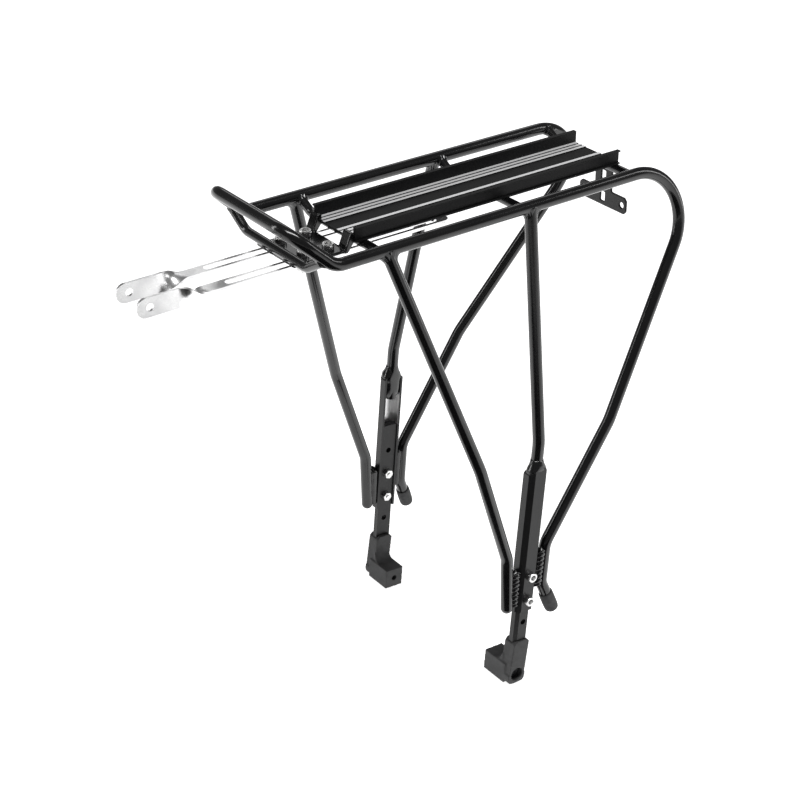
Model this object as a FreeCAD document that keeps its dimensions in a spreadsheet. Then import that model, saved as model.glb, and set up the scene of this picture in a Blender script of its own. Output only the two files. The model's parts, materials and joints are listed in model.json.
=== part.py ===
"""Rear rack for a bicycle: a bent tube frame with a slotted-stay front mount and two legs of adjustable height.

Frame: +X points forward, +Y to the rider's left, +Z up. The origin is midway between the two dropout bolt
holes, on their common axis. All lengths are millimetres. Left pieces are drawn; right ones mirror them.
"""
import FreeCAD, Part
import math
import os

import Sketcher

Vector = FreeCAD.Vector
doc = FreeCAD.newDocument("RearRack")

# ---------------------------------------------------------------- driving sizes
DRIVING_SIZES = [
    ("tube_od", 10.8, "outside diameter of the frame tube"),
    ("tube_wall", 1.5, "wall of the frame tube"),
    ("rail_height", 436, "rail centre above the dropout bolt axis"),
    ("rail_half_gap", 65.5, "rail centre from the middle plane"),
    ("rail_front", 151.5, "where the rails end and the hoop begins"),
    ("hoop_knee", 159.5, "where the hoop turns up from the rails"),
    ("hoop_reach", 194.5, "hoop crossbar ahead of the origin"),
    ("hoop_rise", 32, "hoop crossbar above the rails"),
    ("hoop_half_width", 60, "hoop corner from the middle plane"),
    ("hoop_knee_bend", 26, "bend radius where the hoop turns up"),
    ("hoop_corner_bend", 24, "bend radius at the hoop's two corners"),
    ("rear_corner", 239, "corner of the rails behind the origin"),
    ("rear_bend", 46.5, "bend radius of the rails' rear corner"),
    ("leg_half_gap", 107, "legs from the middle plane, below the splay"),
    ("splay_height", 230, "height at which the legs stop splaying out"),
    ("gather_height", 128, "height at which the outer legs meet the channel"),
    ("front_joint", 111, "front leg's joint with the rail"),
    ("front_splay_x", 44.5, "front leg at the splay height"),
    ("front_foot_x", 12, "front leg beside the channel"),
    ("front_leg_end", 75.5, "height of the front leg's rounded end"),
    ("middle_joint", 35.5, "middle leg's joint, behind the origin"),
    ("rear_splay_x", 99.5, "rear leg at the splay height, behind the origin"),
    ("rear_foot_x", 31.5, "rear leg where it meets the channel, behind"),
    ("rear_hook_x", 28.5, "rear leg at the hook's bend, behind"),
    ("rear_hook_height", 88, "height of the hook's bend"),
    ("hook_back", 11, "hook's end behind its bend"),
    ("hook_out", 3.6, "hook's end outboard of the leg"),
    ("hook_drop", 30, "hook's end below its bend"),
    ("leg_bend", 22, "bend radius of the legs"),
    ("cross_od", 8, "outside diameter of the cross tubes"),
    ("cross_wall", 1.2, "wall of the cross tubes"),
    ("cross_drop", 9, "cross tubes' middle below the rails"),
    ("cross_knee", 48, "knee of the cross tubes from the middle plane"),
    ("cross_bend", 16, "bend radius of the cross tubes"),
    ("cross_front", 105.5, "front cross tube ahead of the origin"),
    ("cross_middle", 40.5, "middle cross tube behind the origin"),
    ("cross_rear", 163, "rear cross tube behind the origin"),
    ("bar_od", 8, "diameter of the lower hoop bar"),
    ("bar_ahead", 171, "lower hoop bar ahead of the origin"),
    ("bar_half_width", 44, "knee of the lower hoop bar"),
    ("bar_end_rise", 12, "lower hoop bar's ends above its middle"),
    ("leg_tilt", 4.5, "lean of the channels and feet, degrees"),
    ("leg_axis_x", 2, "sliding bar behind the bolt axis"),
    ("channel_bottom", 68, "channel's lower end"),
    ("channel_length", 146, "channel's length"),
    ("channel_width", 20.5, "channel's width, fore and aft"),
    ("channel_depth", 11.5, "channel's depth"),
    ("channel_wall", 2.2, "channel's side walls"),
    ("channel_web", 2, "channel's outer wall"),
    ("channel_bevel", 4.2, "bevel along the channel's outer edges"),
    ("channel_out", 6, "channel's outer face outboard of the leg plane"),
    ("channel_shoulder", 5, "corners cut off the channel's top"),
    ("slide_gap", 0.3, "running clearance of the pieces that slide"),
    ("bar_top", 157, "top of the sliding bar"),
    ("bar_bottom", 16, "bottom of the sliding bar, in the foot"),
    ("bar_depth", 8, "sliding bar's depth"),
    ("hole_pitch", 25, "pitch of the height holes"),
    ("first_hole", 55, "lowest height hole"),
    ("hole_count", 4, "height holes in the bar"),
    ("screw_hole", 5.5, "clearance hole for an M5 screw"),
    ("screw_od", 5, "M5 screw's thread"),
    ("head_od", 9, "M5 socket head"),
    ("head_height", 5, "M5 socket head's height"),
    ("nut_flats", 8, "M5 nut across flats"),
    ("nut_height", 4, "M5 nut's height"),
    ("foot_half", 8.8, "foot plate's half width at the bolt"),
    ("foot_top_half", 8.8, "foot plate's half width at its top"),
    ("foot_height", 36, "foot plate's top"),
    ("foot_out", 5.5, "foot's outer face outboard of the leg plane"),
    ("foot_depth", 13.5, "foot plate's thickness"),
    ("block_reach", 22, "spacer block, from the plate towards the wheel"),
    ("block_half", 9.75, "spacer block's half width"),
    ("block_top", 10, "spacer block's top above the bolt axis"),
    ("block_bottom", 10, "spacer block's bottom below the bolt axis"),
    ("counterbore_od", 12.8, "counterbore for the dropout bolt's head"),
    ("counterbore_deep", 7, "depth of that counterbore"),
    ("deck_front", 115.5, "deck's front end"),
    ("deck_length", 281.5, "deck's length"),
    ("deck_half", 29, "outer face of the deck's upright walls"),
    ("deck_floor", 1.6, "deck's floor thickness"),
    ("deck_wall", 1.8, "deck's upright walls"),
    ("deck_height", 12.5, "deck's height"),
    ("deck_lip", 2, "lips along the deck's upright walls"),
    ("lip_thick", 1.3, "thickness of those lips"),
    ("rib_width", 3.4, "ribs on the deck"),
    ("rib_height", 0.7, "height of the ribs"),
    ("rib_pitch", 5.1, "pitch of the ribs"),
    ("stay_half_gap", 16, "front stays from the middle plane"),
    ("stay_width", 12.5, "stay's flat strip"),
    ("stay_thick", 2.5, "stay's thickness"),
    ("stay_rear", 13.5, "stay's rounded rear end"),
    ("stay_flat_end", 245.5, "where the stay's twist begins"),
    ("stay_tip_start", 270, "where the stay's twist ends"),
    ("stay_tip", 306.5, "stay's front end"),
    ("stay_eye_x", 295, "hole in the stay's tip"),
    ("stay_eye_od", 6.5, "diameter of that hole"),
    ("tip_height", 16.5, "height of the stay's tip plate"),
    ("slot_rear", 24.5, "rear end of the stay's slot"),
    ("slot_front", 228.5, "front end of the stay's slot"),
    ("slot_width", 6.6, "width of the stay's slot"),
    ("clamp_thick", 2.5, "clamp plate's thickness"),
    ("clamp_rear", 121.5, "clamp plate's rear edge"),
    ("clamp_front", 172, "clamp plate's front edge"),
    ("clamp_half", 27, "clamp plate's half width"),
    ("tab_width", 11, "clamp plate's two tabs"),
    ("tab_half_gap", 23, "tabs from the middle plane"),
    ("tab_rise", 16, "tabs' height over the clamp plate"),
    ("clamp_bolt_od", 6, "M6 clamp bolts"),
    ("clamp_bolt_rear", 132.5, "rear pair of clamp bolts"),
    ("clamp_bolt_front", 156.5, "front pair of clamp bolts"),
    ("clamp_head_od", 10, "M6 socket head"),
    ("clamp_head_high", 5, "M6 socket head's height"),
    ("washer_od", 12, "M6 washer"),
    ("washer_thick", 1.2, "washer's thickness"),
    ("clamp_nut_flats", 10, "M6 nut across flats"),
    ("clamp_nut_high", 5, "M6 nut's height"),
    ("cap_od", 13, "rubber cap on the hook"),
    ("cap_length", 18, "rubber cap's length over the tube"),
    ("light_thick", 2, "rear light bracket's plate"),
    ("light_back", 178.5, "rear light bracket behind the origin"),
    ("light_stem", 22, "rear light bracket's stem"),
    ("light_bottom", 57, "bracket's bottom below the rails"),
    ("light_wing_high", 16, "height of the bracket's wings"),
    ("light_wing_half", 31, "half span of the bracket's wings"),
    ("light_hole_gap", 50, "spacing of the two light holes"),
    ("light_hole", 5.5, "diameter of the light holes"),
    ("light_slot_high", 9, "height of the stem's slots"),
    ("light_slot_upper", 28, "upper slot below the rails"),
    ("light_slot_lower", 48.5, "lower slot below the rails"),
    ("light_foot", 21, "bracket's foot under the cross tube"),
    ("bead_length", 38, "weld beads beside the channel"),
    ("bead_width", 6, "width of those beads"),
    ("bead_front_base", 74, "lower end of the front bead"),
    ("bead_rear_base", 88, "lower end of the rear bead"),
]

sheet = doc.addObject("Spreadsheet::Sheet", "Sizes")
for row, (alias, value, meaning) in enumerate(DRIVING_SIZES, start=1):
    sheet.set("A%d" % row, str(value))
    sheet.setAlias("A%d" % row, alias)
    sheet.set("B%d" % row, meaning)
doc.recompute()


def size(alias):
    """The number that a cell of the sheet holds."""
    return float(sheet.get(alias))


def formula(text):
    """Prefix every alias in an expression with the sheet's name."""
    words = []
    word = ""
    for letter in text + " ":
        if letter.isalnum() or letter == "_":
            word += letter
        else:
            words.append("Sizes." + word if word in ALIASES else word)
            words.append(letter)
            word = ""
    return "".join(words).strip()


ALIASES = {alias for alias, value, meaning in DRIVING_SIZES}
SUB_PARTS = []


def bind(item, **bindings):
    """Bind properties of an object to expressions; X, Y and Z place it."""
    for name, text in bindings.items():
        if name in ("X", "Y", "Z"):
            name = "Placement.Base." + name.lower()
        item.setExpression(name, formula(text))
    return item


def node(item, label):
    """Make an object a sub-part, written to a file of that name."""
    item.Label = label
    SUB_PARTS.append(item)
    return item


def box(name, along, across, high, **place):
    """A block whose three sizes and corner are expressions."""
    return bind(doc.addObject("Part::Box", name), Length=along, Width=across, Height=high, **place)


def cylinder(name, radius, high, **place):
    """An upright cylinder whose sizes and place are expressions."""
    return bind(doc.addObject("Part::Cylinder", name), Radius=radius, Height=high, **place)


def cylinder_along_y(name, radius, high, **place):
    """A cylinder that runs towards +Y from its place."""
    item = cylinder(name, radius, high)
    item.Placement = FreeCAD.Placement(Vector(), FreeCAD.Rotation(Vector(1, 0, 0), -90))
    return bind(item, **place)


def prism_along_y(name, flats, high, **place):
    """A hexagon, given across its flats, that runs towards +Y."""
    item = doc.addObject("Part::Prism", name)
    item.Polygon = 6
    item.Placement = FreeCAD.Placement(Vector(), FreeCAD.Rotation(Vector(1, 0, 0), -90))
    return bind(item, Circumradius="(%s) / 1.7320508" % flats, Height=high, **place)


def cut(name, base, *tools):
    """Take each tool away from the base in turn."""
    for number, tool in enumerate(tools):
        step = doc.addObject("Part::Cut", "%s_%d" % (name, number))
        step.Base = base
        step.Tool = tool
        base = step
    return base


def fuse(name, *pieces):
    """Join pieces into one solid."""
    item = doc.addObject("Part::MultiFuse", name)
    item.Shapes = list(pieces)
    return item


def group(name, *pieces):
    """Keep pieces together as separate solids of one sub-part."""
    item = doc.addObject("Part::Compound", name)
    item.Links = list(pieces)
    return item


def mirror(item, label):
    """The right-hand copy of a left-hand sub-part."""
    copy = doc.addObject("Part::Mirroring", label)
    copy.Source = item
    copy.Normal = Vector(0, 1, 0)
    return node(copy, label)


def pair(item, stem):
    """Name a left-hand sub-part and add its right-hand mirror copy."""
    return node(item, "left_" + stem), mirror(item, "right_" + stem)


# ---------------------------------------------------------------- bent tubes
def bent_path(name, corners, radii):
    """Straight runs through the corners, joined by tangent arcs."""
    edges = []
    start = corners[0]
    for before, corner, after, radius in zip(corners, corners[1:], corners[2:], radii):
        back = (before - corner).normalize()
        ahead = (after - corner).normalize()
        half_turn = (math.pi - back.getAngle(ahead)) / 2
        reach = radius * math.tan(half_turn)
        inward = (back + ahead).normalize()
        middle = corner + inward * (radius / math.cos(half_turn) - radius)
        edges.append(Part.LineSegment(start, corner + back * reach).toShape())
        edges.append(Part.Arc(corner + back * reach, middle, corner + ahead * reach).toShape())
        start = corner + ahead * reach
    edges.append(Part.LineSegment(start, corners[-1]).toShape())
    path = doc.addObject("Part::Feature", name + "_path")
    path.Shape = Part.Wire(edges)
    return path


def swept_rod(name, path, corners, radius):
    """Sweep a circle along a path; its radius is an expression."""
    ring = doc.addObject("Part::Circle", name + "_ring")
    along = corners[1] - corners[0]
    ring.Placement = FreeCAD.Placement(corners[0], FreeCAD.Rotation(Vector(0, 0, 1), along))
    bind(ring, Radius=radius)
    sweep = doc.addObject("Part::Sweep", name + "_sweep")
    sweep.Sections = [ring]
    sweep.Spine = (path, ["Edge%d" % (number + 1) for number in range(len(path.Shape.Edges))])
    sweep.Solid = True
    sweep.Frenet = False
    return sweep


def bent_tube(name, corners, radii, od="tube_od", wall="tube_wall", coped_by=(), rounded_end=False):
    """A hollow bent tube: returns the finished tube and its solid outside."""
    path = bent_path(name, corners, radii)
    outside = swept_rod(name + "_outer", path, corners, od + " / 2")
    bore = swept_rod(name + "_bore", path, corners, "%s / 2 - %s" % (od, wall))
    tube = cut(name + "_hollow", outside, bore)
    if rounded_end:
        ball = bind(doc.addObject("Part::Sphere", name + "_end"), Radius=od + " / 2")
        ball.Placement.Base = corners[-1]
        tube = fuse(name + "_closed", tube, ball)
        outside = fuse(name + "_solid", outside, ball)
    return cut(name + "_coped", tube, *coped_by), outside


def across(point):
    """The same point on the right-hand side."""
    return Vector(point.x, -point.y, point.z)


rail = size("rail_height")
rail_y = size("rail_half_gap")
leg_y = size("leg_half_gap")
splay = size("splay_height")
gather = size("gather_height")
leg_bend = size("leg_bend")

# Side tube: rail, rear bend, rear leg and hook in one length of tube.
hook_bend = Vector(-size("rear_hook_x"), leg_y, size("rear_hook_height"))
hook_end = hook_bend + Vector(-size("hook_back"), size("hook_out"), -size("hook_drop"))
side_corners = [
    Vector(size("rail_front"), rail_y, rail),
    Vector(-size("rear_corner"), rail_y, rail),
    Vector(-size("rear_splay_x"), leg_y, splay),
    Vector(-size("rear_foot_x"), leg_y, gather),
    hook_bend,
    hook_end,
]
side_radii = [size("rear_bend"), 2 * leg_bend, leg_bend, 0.7 * leg_bend]
left_side, left_side_outer = bent_tube("side_tube", side_corners, side_radii)
pair(left_side, "side_tube")
right_side_outer = doc.addObject("Part::Mirroring", "right_side_outer")
right_side_outer.Source = left_side_outer
right_side_outer.Normal = Vector(0, 1, 0)

# Front hoop: carries on from both rails, rises and crosses over.
hoop_half = [
    Vector(size("rail_front"), rail_y, rail),
    Vector(size("hoop_knee"), rail_y, rail),
    Vector(size("hoop_reach"), size("hoop_half_width"), rail + size("hoop_rise")),
]
hoop_corners = hoop_half + [across(point) for point in reversed(hoop_half)]
knee_run = size("hoop_knee") - size("rail_front")
knee_turn = (hoop_half[2] - hoop_half[1]).getAngle(Vector(1, 0, 0))
knee_radius = min(size("hoop_knee_bend"), 0.98 * knee_run / math.tan(knee_turn / 2))
hoop_radii = [knee_radius, size("hoop_corner_bend"), size("hoop_corner_bend"), knee_radius]
front_hoop, hoop_outer = bent_tube("hoop", hoop_corners, hoop_radii)
node(front_hoop, "front_hoop")

# Lower hoop bar: a solid bar, its ends bent up and welded under the hoop's uprights.
bar_z = rail - size("cross_drop") - size("cross_od") / 2 + size("clamp_thick") - 0.1 + size("bar_od") / 2
upright_share = (size("bar_ahead") - size("hoop_knee")) / (size("hoop_reach") - size("hoop_knee"))
bar_end_y = rail_y + upright_share * (size("hoop_half_width") - rail_y)
bar_half = [
    Vector(size("bar_ahead"), bar_end_y, bar_z + size("bar_end_rise")),
    Vector(size("bar_ahead"), size("bar_half_width"), bar_z),
]
bar_corners = bar_half + [across(point) for point in reversed(bar_half)]
bar_path = bent_path("lower_bar", bar_corners, [size("cross_bend")] * 2)
lower_bar = swept_rod("lower_bar", bar_path, bar_corners, "bar_od / 2")
node(cut("lower_bar_coped", lower_bar, hoop_outer), "lower_hoop_bar")


# Legs: each starts just under the rail's centre line and is coped to the rail.
def leg(name, joint_x, corners, radii, **options):
    """A leg that hangs from the rail at joint_x and follows the corners."""
    joint = Vector(joint_x, rail_y, rail)
    start = joint + (corners[0] - joint).normalize()
    return bent_tube(name, [start] + corners, radii, coped_by=[left_side_outer], **options)


front_leg, front_leg_outer = leg(
    "front_leg",
    size("front_joint"),
    [
        Vector(size("front_splay_x"), leg_y, splay),
        Vector(size("front_foot_x"), leg_y, gather),
        Vector(size("front_foot_x") - 1.5, leg_y, size("front_leg_end")),
    ],
    [2 * leg_bend, leg_bend],
    rounded_end=True,
)
pair(front_leg, "front_leg")

tilt = math.radians(size("leg_tilt"))
tube_end = size("bar_top") + size("hole_pitch") + 4


def on_leg_axis(distance, y):
    """A point on the sliding bar's axis, this far up from the bolts."""
    return Vector(-size("leg_axis_x") - distance * math.sin(tilt), y, distance * math.cos(tilt))


middle_leg_y = leg_y + size("channel_out") - size("channel_web") - size("tube_od") / 2 - 0.05
middle_leg, middle_leg_outer = leg(
    "middle_leg",
    -size("middle_joint"),
    [on_leg_axis(splay + 6, middle_leg_y), on_leg_axis(tube_end, middle_leg_y)],
    [2 * leg_bend],
)
pair(middle_leg, "middle_leg")

# Cross tubes: dropped in the middle, so that the deck lies level with the rails.
leg_outers = {"front": front_leg_outer, "middle": middle_leg_outer}
cross_places = {"front": size("cross_front"), "middle": -size("cross_middle"), "rear": -size("cross_rear")}
for place, cross_x in cross_places.items():
    half = [
        Vector(cross_x, rail_y, rail),
        Vector(cross_x, size("cross_knee"), rail - size("cross_drop")),
    ]
    tools = [left_side_outer, right_side_outer]
    if place in leg_outers:
        right_leg_outer = doc.addObject("Part::Mirroring", "right_%s_leg_outer" % place)
        right_leg_outer.Source = leg_outers[place]
        right_leg_outer.Normal = Vector(0, 1, 0)
        tools += [leg_outers[place], right_leg_outer]
    cross, cross_outer = bent_tube(
        "cross_" + place,
        half + [across(point) for point in reversed(half)],
        [size("cross_bend")] * 2,
        od="cross_od",
        wall="cross_wall",
        coped_by=tools,
    )
    node(cross, "cross_tube_" + place)


# ---------------------------------------------------------------- outlines
def outline_pad(name, plane, points, thickness, offset="0"):
    """A PartDesign body: a polygon of expressions, padded to a thickness."""
    body = doc.addObject("PartDesign::Body", name + "_body")
    doc.recompute()
    sketch = body.newObject("Sketcher::SketchObject", name + "_sketch")
    origin_plane = [item for item in body.Origin.OriginFeatures if item.Role == plane][0]
    sketch.AttachmentSupport = [(origin_plane, "")]
    sketch.MapMode = "FlatFace"
    places = []
    for across_text, up_text in points:
        places.append(Vector(number_of(across_text), number_of(up_text), 0))
    last = len(places) - 1
    for index, place in enumerate(places):
        sketch.addGeometry(Part.LineSegment(place, places[0 if index == last else index + 1]), False)
    for index in range(len(places)):
        joined = 0 if index == last else index + 1
        sketch.addConstraint(Sketcher.Constraint("Coincident", index, 2, joined, 1))
    for index, texts in enumerate(points):
        for kind, text in zip(("DistanceX", "DistanceY"), texts):
            held = sketch.addConstraint(Sketcher.Constraint(kind, -1, 1, index, 1, number_of(text)))
            sketch.setExpression("Constraints[%d]" % held, formula(text))
    pad = body.newObject("PartDesign::Pad", name + "_pad")
    pad.Profile = sketch
    bind(pad, Length=thickness)
    sketch.setExpression(".AttachmentOffset.Base.z", formula(offset))
    return body


def number_of(text):
    """What an expression in the sheet's aliases comes to."""
    return float(sheet.evalExpression(formula(text)))


def lean(item):
    """Stand a piece that is drawn upright on the leaning leg axis."""
    turn = FreeCAD.Rotation(Vector(0, 1, 0), -size("leg_tilt"))
    item.Placement = FreeCAD.Placement(Vector(-size("leg_axis_x"), 0, 0), turn)
    return item


# Leg channels: open towards the wheel, outer edges bevelled, top corners cut off.
OUTER_FACE = "leg_half_gap + channel_out"
OPEN_FACE = OUTER_FACE + " - channel_depth"
WEB_INNER = OUTER_FACE + " - channel_web"
INNER_BEVEL = "(channel_bevel - 0.586 * channel_wall)"
channel_half_profile = [
    ("channel_width / 2 - channel_bevel", OUTER_FACE),
    ("channel_width / 2", OUTER_FACE + " - channel_bevel"),
    ("channel_width / 2", OPEN_FACE),
    ("channel_width / 2 - channel_wall", OPEN_FACE),
    ("channel_width / 2 - channel_wall", WEB_INNER + " - " + INNER_BEVEL),
    ("channel_width / 2 - channel_wall - " + INNER_BEVEL, WEB_INNER),
]
channel_profile = channel_half_profile + [("-(%s)" % x, y) for x, y in reversed(channel_half_profile)]
channel_bar = outline_pad("channel", "XY_Plane", channel_profile, "channel_length", offset="channel_bottom")
shoulders = []
for side_name, side in (("fore", "1"), ("aft", "-1")):
    shoulder = box("channel_shoulder_" + side_name, "2 * channel_shoulder", "40", "2 * channel_shoulder")
    shoulder.Placement = FreeCAD.Placement(Vector(), FreeCAD.Rotation(Vector(0, 1, 0), 45))
    bind(
        shoulder,
        X="%s * channel_width / 2 - 1.4142136 * channel_shoulder" % side,
        Y="leg_half_gap - 20",
        Z="channel_bottom + channel_length",
    )
    shoulders.append(shoulder)
screw_heights = ["first_hole + %d * hole_pitch" % step for step in (1, 2)]
channel_holes = []
for number, height in enumerate(screw_heights):
    channel_holes.append(
        cylinder_along_y("channel_hole_%d" % number, "screw_od / 2 + 0.1", "20", Y="leg_half_gap - 6", Z=height)
    )
channel = cut("channel_drilled", channel_bar, *shoulders, *channel_holes)
pair(lean(channel), "leg_channel")

# Sliding leg bars: they follow the channel's inside with a running clearance.
BAR_OUTER = WEB_INNER + " - slide_gap"
BAR_SIDE = "(channel_width / 2 - channel_wall - slide_gap)"
BAR_BEVEL = "(channel_bevel - 0.586 * channel_wall - 0.586 * slide_gap)"
bar_half_profile = [
    (BAR_SIDE + " - " + BAR_BEVEL, BAR_OUTER),
    (BAR_SIDE, BAR_OUTER + " - " + BAR_BEVEL),
    (BAR_SIDE, BAR_OUTER + " - bar_depth"),
]
bar_profile = bar_half_profile + [("-(%s)" % x, y) for x, y in reversed(bar_half_profile)]
leg_bar = outline_pad("leg_bar", "XY_Plane", bar_profile, "bar_top - bar_bottom", offset="bar_bottom")
bar_holes = []
for number in range(int(size("hole_count"))):
    height = "first_hole + %d * hole_pitch" % number
    bar_holes.append(
        cylinder_along_y("bar_hole_%d" % number, "screw_hole / 2", "20", Y="leg_half_gap - 8", Z=height)
    )
pair(lean(cut("leg_bar_drilled", leg_bar, *bar_holes)), "leg_bar")

# Feet: a plate round the dropout bolt, with a spacer block that reaches in to the frame.
FOOT_OUTER = "leg_half_gap + foot_out"
BOLT_X = "leg_axis_x * cos(leg_tilt * 1deg)"
BOLT_Z = "-leg_axis_x * sin(leg_tilt * 1deg)"
FOOT_INNER = FOOT_OUTER + " - foot_depth"
foot_outline = [
    (BOLT_X + " - foot_half", BOLT_Z),
    (BOLT_X + " + foot_half", BOLT_Z),
    ("foot_top_half", "foot_height - 3"),
    ("foot_top_half - 3", "foot_height"),
    ("3 - foot_top_half", "foot_height"),
    ("-foot_top_half", "foot_height - 3"),
]
foot_plate = outline_pad("foot_plate", "XZ_Plane", foot_outline, "foot_depth", offset="-(%s)" % FOOT_OUTER)
foot_round = cylinder_along_y("foot_round", "foot_half", "foot_depth", X=BOLT_X, Y=FOOT_INNER, Z=BOLT_Z)
foot_block = box(
    "foot_block",
    "2 * block_half",
    "block_reach + foot_depth / 2",
    "block_top + block_bottom",
    X=BOLT_X + " - block_half",
    Y=FOOT_INNER + " - block_reach",
    Z="-block_bottom",
)
foot_hole = cylinder_along_y("foot_hole", "screw_hole / 2", "80", X=BOLT_X, Y="leg_half_gap - 60", Z=BOLT_Z)
foot_counterbore = cylinder_along_y(
    "foot_counterbore", "counterbore_od / 2", "20", X=BOLT_X, Y=FOOT_OUTER + " - counterbore_deep", Z=BOLT_Z
)
foot_solid = fuse("foot_solid", foot_plate, foot_round, foot_block)
foot = cut("foot_cut", foot_solid, foot_hole, foot_counterbore, leg_bar)
pair(lean(foot), "foot")

# Leg screws stop inside the channel's web; the nuts carry a barrel that fills the bar's holes.
screws = []
nuts = []
for number, height in enumerate(screw_heights):
    shank = cylinder_along_y("leg_screw_shank_%d" % number, "screw_od / 2", "channel_web", Y=WEB_INNER, Z=height)
    head = cylinder_along_y("leg_screw_head_%d" % number, "head_od / 2", "head_height", Y=OUTER_FACE, Z=height)
    socket = prism_along_y(
        "leg_screw_socket_%d" % number,
        "head_od / 2",
        "head_height",
        Y=OUTER_FACE + " + head_height / 2",
        Z=height,
    )
    screws.append(cut("leg_screw_%d" % number, fuse("leg_screw_solid_%d" % number, shank, head), socket))
    barrel = cylinder_along_y(
        "leg_nut_barrel_%d" % number, "screw_od / 2", "bar_depth - 1", Y=BAR_OUTER + " - bar_depth", Z=height
    )
    nut = prism_along_y(
        "leg_nut_hex_%d" % number,
        "nut_flats",
        "nut_height",
        Y=BAR_OUTER + " - bar_depth - nut_height",
        Z=height,
    )
    nuts.append(fuse("leg_nut_%d" % number, barrel, nut))
pair(lean(group("leg_screw_pair", *screws)), "leg_screws")
pair(lean(group("leg_nut_pair", *nuts)), "leg_nuts")

# Weld beads join the two outer legs to the channel's walls.
BEAD_Y = "leg_half_gap - bead_width / 2"
bead_front = box(
    "bead_front", "front_foot_x + leg_axis_x + 5 - channel_width / 2", "bead_width", "bead_length",
    X="channel_width / 2", Y=BEAD_Y, Z="bead_front_base",
)
bead_rear = box(
    "bead_rear", "rear_hook_x - 8.5 - channel_width / 2", "bead_width", "bead_length",
    X="8.5 - rear_hook_x", Y=BEAD_Y, Z="bead_rear_base",
)
beads = group(
    "beads",
    cut("bead_front_fitted", lean(group("bead_front_leaning", bead_front)), front_leg_outer),
    cut("bead_rear_fitted", lean(group("bead_rear_leaning", bead_rear)), left_side_outer),
)
pair(beads, "channel_welds")

# ---------------------------------------------------------------- deck
DECK_BASE = "rail_height - cross_drop + cross_od / 2"
DECK_REAR = "deck_front - deck_length"
deck_pieces = [
    box("deck_floor_plate", "deck_length", "2 * deck_half", "deck_floor", X=DECK_REAR, Y="-deck_half", Z=DECK_BASE)
]
for side_name, wall_y, lip_y in (
    ("left", "deck_half - deck_wall", "deck_half - deck_wall"),
    ("right", "-deck_half", "-deck_half - deck_lip"),
):
    deck_pieces.append(
        box("deck_wall_" + side_name, "deck_length", "deck_wall", "deck_height", X=DECK_REAR, Y=wall_y, Z=DECK_BASE)
    )
    for level_name, lip_z in (("top", DECK_BASE + " + deck_height - lip_thick"), ("foot", DECK_BASE)):
        deck_pieces.append(
            box(
                "deck_lip_%s_%s" % (side_name, level_name),
                "deck_length",
                "deck_wall + deck_lip",
                "lip_thick",
                X=DECK_REAR,
                Y=lip_y,
                Z=lip_z,
            )
        )
# Ribs run the deck's length, counted from the middle plane; a band beside the middle stays plain.
for place, step in enumerate((-5, -4, -3, 1, 2, 3, 4, 5)):
    deck_pieces.append(
        box(
            "deck_rib_%d" % place,
            "deck_length",
            "rib_width",
            "deck_floor + rib_height",
            X=DECK_REAR,
            Y="%d * rib_pitch - rib_width / 2" % step,
            Z=DECK_BASE,
        )
    )
node(fuse("deck_fused", *deck_pieces), "deck")

# ---------------------------------------------------------------- stay clamp and front stays
STAY_TOP = "rail_height - cross_drop - cross_od / 2 - slide_gap - 0.1"
CLAMP_BASE = "rail_height - cross_drop - cross_od / 2 - 0.1"
clamp_plate = box(
    "clamp_plate",
    "clamp_front - clamp_rear",
    "2 * clamp_half",
    "clamp_thick",
    X="clamp_rear",
    Y="-clamp_half",
    Z=CLAMP_BASE,
)
tabs = []
tab_slope = [
    ("clamp_rear", CLAMP_BASE),
    ("clamp_rear + clamp_thick + 1", CLAMP_BASE),
    ("deck_front + clamp_thick + 0.5", CLAMP_BASE + " + tab_rise"),
    ("deck_front", CLAMP_BASE + " + tab_rise"),
    ("deck_front", CLAMP_BASE + " + tab_rise / 2"),
]
for side_name, tab_y in (("left", "-tab_half_gap - tab_width / 2"), ("right", "tab_half_gap - tab_width / 2")):
    tabs.append(outline_pad("tab_" + side_name, "XZ_Plane", tab_slope, "tab_width", offset=tab_y))
clamp_holes = []
clamp_bolt_places = []
for x in ("clamp_bolt_rear", "clamp_bolt_front"):
    for y in ("stay_half_gap", "-stay_half_gap"):
        clamp_bolt_places.append((x, y))
for number, (x, y) in enumerate(clamp_bolt_places):
    clamp_holes.append(
        cylinder("clamp_hole_%d" % number, "clamp_bolt_od / 2 + 0.2", "20", X=x, Y=y, Z=CLAMP_BASE + " - 5")
    )
clamp = cut("clamp_drilled", fuse("clamp_solid", clamp_plate, *tabs), *clamp_holes)
node(cut("clamp_coped", clamp, lower_bar), "stay_clamp_plate")

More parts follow.
